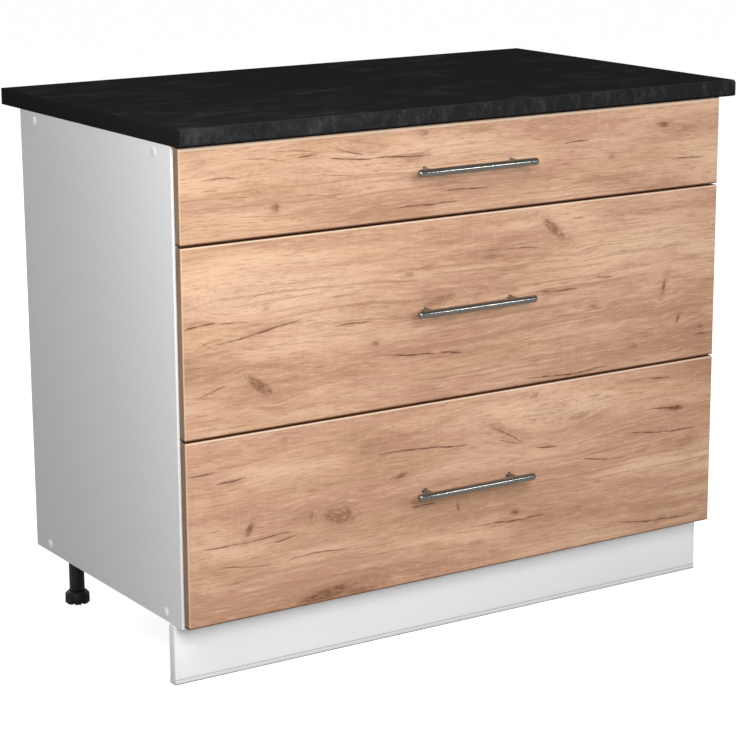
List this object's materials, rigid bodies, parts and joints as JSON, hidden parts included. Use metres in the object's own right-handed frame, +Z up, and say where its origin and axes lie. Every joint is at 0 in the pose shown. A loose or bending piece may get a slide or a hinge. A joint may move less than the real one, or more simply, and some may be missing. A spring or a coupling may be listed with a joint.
{
  "type": "base cabinet with drawers",
  "caption": "Kitchen base cabinet with one low and two tall drawers on full-extension slides, a dark worktop, levelling legs and a pull-off plinth.",
  "frame": {"origin": "middle of the outline, on the floor", "axes": "+X to the right seen from the front, +Y to the back, +Z up; the drawers open towards -Y"},
  "size_m": [1.022, 0.623, 0.84],
  "materials": {
    "white_board": "white melamine-faced chipboard, satin",
    "white_hardboard": "white-faced hardboard, satin",
    "oak_decor": "golden oak decor with cracks and knots, matt",
    "stone_laminate": "black stone-look laminate, matt",
    "black_edging": "matt edging strip",
    "brushed_rod": "satin stainless",
    "zinc_steel": "bright zinc",
    "screw_steel": "zinc-plated",
    "black_plastic": "moulded, matt",
    "white_plastic": "moulded, satin",
    "clear_rubber": "soft, translucent",
    "clear_seal": "clear, slightly milky"
  },
  "bodies": {
    "carcass": {"back_panel": "white_hardboard", "back_panel_nails": "screw_steel", "bottom_panel": "white_board", "carcass_screws": "screw_steel", "front_bumpers": "clear_rubber", "leg_bodies": "black_plastic", "leg_screws": "screw_steel", "outer_rails": "zinc_steel", "rail_screws": "screw_steel", "screw_caps": "white_plastic", "side_panel_left": "white_board", "side_panel_right": "white_board", "top_rail_front": "white_board", "top_rail_rear": "white_board", "worktop": "stone_laminate", "worktop_end_strips": "black_edging", "worktop_screws": "screw_steel"},
    "lower_drawer": {"lower_back": "white_board", "lower_bottom": "white_hardboard", "lower_box_screws": "screw_steel", "lower_front": "oak_decor", "lower_handle": "brushed_rod", "lower_handle_screws": "screw_steel", "lower_inner_front": "white_board", "lower_inner_rails": "zinc_steel", "lower_side_left": "white_board", "lower_side_right": "white_board", "lower_wood_screws": "screw_steel"},
    "lower_slide_middles": {"lower_middle_rails": "zinc_steel"},
    "middle_drawer": {"middle_back": "white_board", "middle_bottom": "white_hardboard", "middle_box_screws": "screw_steel", "middle_front": "oak_decor", "middle_handle": "brushed_rod", "middle_handle_screws": "screw_steel", "middle_inner_front": "white_board", "middle_inner_rails": "zinc_steel", "middle_side_left": "white_board", "middle_side_right": "white_board", "middle_wood_screws": "screw_steel"},
    "middle_slide_middles": {"middle_middle_rails": "zinc_steel"},
    "upper_drawer": {"upper_back": "white_board", "upper_bottom": "white_hardboard", "upper_box_screws": "screw_steel", "upper_front": "oak_decor", "upper_handle": "brushed_rod", "upper_handle_screws": "screw_steel", "upper_inner_front": "white_board", "upper_inner_rails": "zinc_steel", "upper_side_left": "white_board", "upper_side_right": "white_board", "upper_wood_screws": "screw_steel"},
    "upper_slide_middles": {"upper_middle_rails": "zinc_steel"},
    "front_left_foot": {"foot_front_left": "black_plastic"},
    "front_right_foot": {"foot_front_right": "black_plastic"},
    "rear_left_foot": {"foot_rear_left": "black_plastic"},
    "rear_right_foot": {"foot_rear_right": "black_plastic"},
    "plinth": {"plinth_board": "white_board", "plinth_seal": "clear_seal", "plinth_clips": "black_plastic"}
  },
  "joints": [
    {"name": "lower_drawer_slide", "type": "slide", "parent": "carcass", "child": "lower_drawer", "axis": [0, -1, 0], "range_m": [0, 0.44]},
    {"name": "lower_middle_member_slide", "type": "slide", "parent": "carcass", "child": "lower_slide_middles", "axis": [0, -1, 0], "range_m": [0, 0.22]},
    {"name": "middle_drawer_slide", "type": "slide", "parent": "carcass", "child": "middle_drawer", "axis": [0, -1, 0], "range_m": [0, 0.44]},
    {"name": "middle_middle_member_slide", "type": "slide", "parent": "carcass", "child": "middle_slide_middles", "axis": [0, -1, 0], "range_m": [0, 0.22]},
    {"name": "upper_drawer_slide", "type": "slide", "parent": "carcass", "child": "upper_drawer", "axis": [0, -1, 0], "range_m": [0, 0.44]},
    {"name": "upper_middle_member_slide", "type": "slide", "parent": "carcass", "child": "upper_slide_middles", "axis": [0, -1, 0], "range_m": [0, 0.22]},
    {"name": "front_left_foot_levelling", "type": "slide", "parent": "carcass", "child": "front_left_foot", "axis": [0, 0, -1], "range_m": [-0.007, 0.015]},
    {"name": "front_right_foot_levelling", "type": "slide", "parent": "carcass", "child": "front_right_foot", "axis": [0, 0, -1], "range_m": [-0.007, 0.015]},
    {"name": "rear_left_foot_levelling", "type": "slide", "parent": "carcass", "child": "rear_left_foot", "axis": [0, 0, -1], "range_m": [-0.007, 0.015]},
    {"name": "rear_right_foot_levelling", "type": "slide", "parent": "carcass", "child": "rear_right_foot", "axis": [0, 0, -1], "range_m": [-0.007, 0.015]},
    {"name": "plinth_pull_off", "type": "slide", "parent": "carcass", "child": "plinth", "axis": [0, -1, 0], "range_m": [0, 0.12]}
  ],
  "couplings": [
    {"joint": "lower_middle_member_slide", "follows": "lower_drawer_slide", "ratio": 0.5},
    {"joint": "middle_middle_member_slide", "follows": "middle_drawer_slide", "ratio": 0.5},
    {"joint": "upper_middle_member_slide", "follows": "upper_drawer_slide", "ratio": 0.5}
  ]
}
